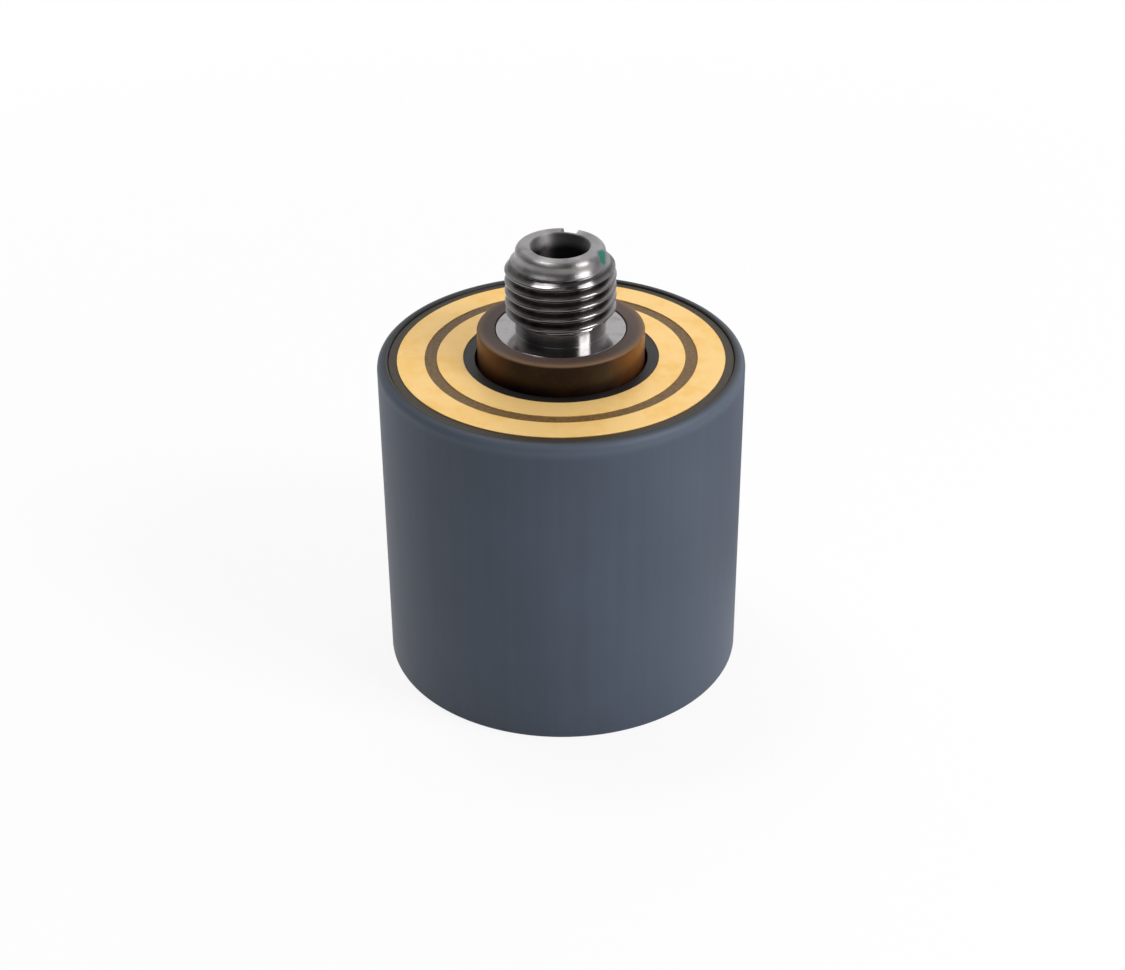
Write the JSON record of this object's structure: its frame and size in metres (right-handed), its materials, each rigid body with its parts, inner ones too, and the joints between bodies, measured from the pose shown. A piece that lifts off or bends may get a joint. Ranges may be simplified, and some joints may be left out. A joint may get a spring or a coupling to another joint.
{
  "type": "pressure module",
  "caption": "Round screw-in pressure sensor module: a grey housing with plated contact rings round a threaded steel pressure spigot.",
  "frame": {"origin": "centre of the base, on the surface that the module stands on", "axes": "+Z along the housing's axis, from the base towards the threaded spigot; the picture looks along +Y, with +X to the right"},
  "size_m": [0.044, 0.044, 0.055],
  "materials": {
    "housing": "moulded, satin blue-grey",
    "laminate": "bare brown laminate, semi-gloss",
    "gold": "gold plate on copper, satin",
    "collar": "dark amber, polished",
    "steel": "turned stainless steel",
    "brass": "turned, plain",
    "glass": "fused, dark green",
    "seal": "black, matt",
    "board": "green solder mask",
    "chip": "moulded black epoxy",
    "red_lead": "red insulation",
    "blue_lead": "blue insulation",
    "green_lead": "green insulation"
  },
  "bodies": {
    "root": {"housing_shell": "housing", "pressure_spigot": "steel", "insulating_collar": "collar", "contact_board": "laminate", "outer_contact_ring": "gold", "inner_contact_ring": "gold", "capsule_body": "steel", "capsule_diaphragm": "steel", "capsule_seal_ring": "seal", "capsule_glass_header": "glass", "capsule_pin_1": "brass", "capsule_pin_2": "brass", "capsule_pin_3": "brass", "capsule_pin_4": "brass", "capsule_clamp_ring": "steel", "chassis_screw_1": "steel", "chassis_screw_2": "steel", "chassis_screw_3": "steel", "ground_tag": "brass", "signal_board": "board", "board_pillar_1": "brass", "board_pillar_2": "brass", "board_pillar_3": "brass", "board_screw_1": "steel", "board_screw_2": "steel", "board_screw_3": "steel", "processor_chip": "chip", "converter_chip": "chip", "memory_chip": "chip", "crystal_can": "chip", "reservoir_capacitor_1": "chip", "reservoir_capacitor_2": "chip", "outer_ring_lead": "red_lead", "inner_ring_lead": "blue_lead", "ground_lead": "green_lead"}
  },
  "joints": []
}
